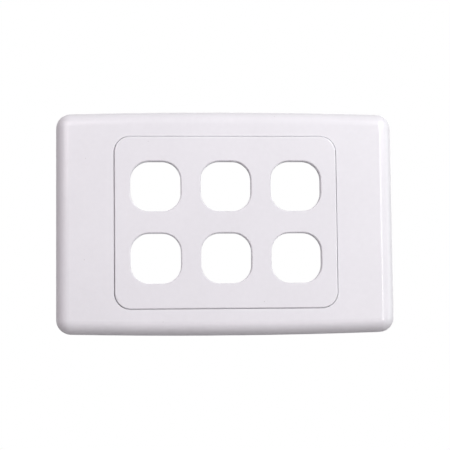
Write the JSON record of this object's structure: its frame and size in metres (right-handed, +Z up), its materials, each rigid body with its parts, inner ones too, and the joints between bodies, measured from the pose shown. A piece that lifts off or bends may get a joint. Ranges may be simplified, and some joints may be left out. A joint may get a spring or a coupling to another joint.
{
  "type": "wall plate",
  "caption": "Horizontal grid wall plate for switch mechanisms: a raised panel with two rows of rounded square apertures, framed by a clip-on surround with bowed long edges.",
  "frame": {"origin": "centre of the two fixing slots, on the wall plane", "axes": "+X along the plate's length, to the right as seen from the room; +Y into the wall, so the front faces -Y; +Z up"},
  "size_m": [0.116, 0.0094, 0.0772],
  "materials": {
    "surround_plastic": "smooth white moulded plastic with a soft gloss",
    "grid_plastic": "smooth white moulded plastic with a soft gloss"
  },
  "bodies": {
    "root": {"surround": "surround_plastic", "grid_plate": "grid_plastic"}
  },
  "joints": []
}
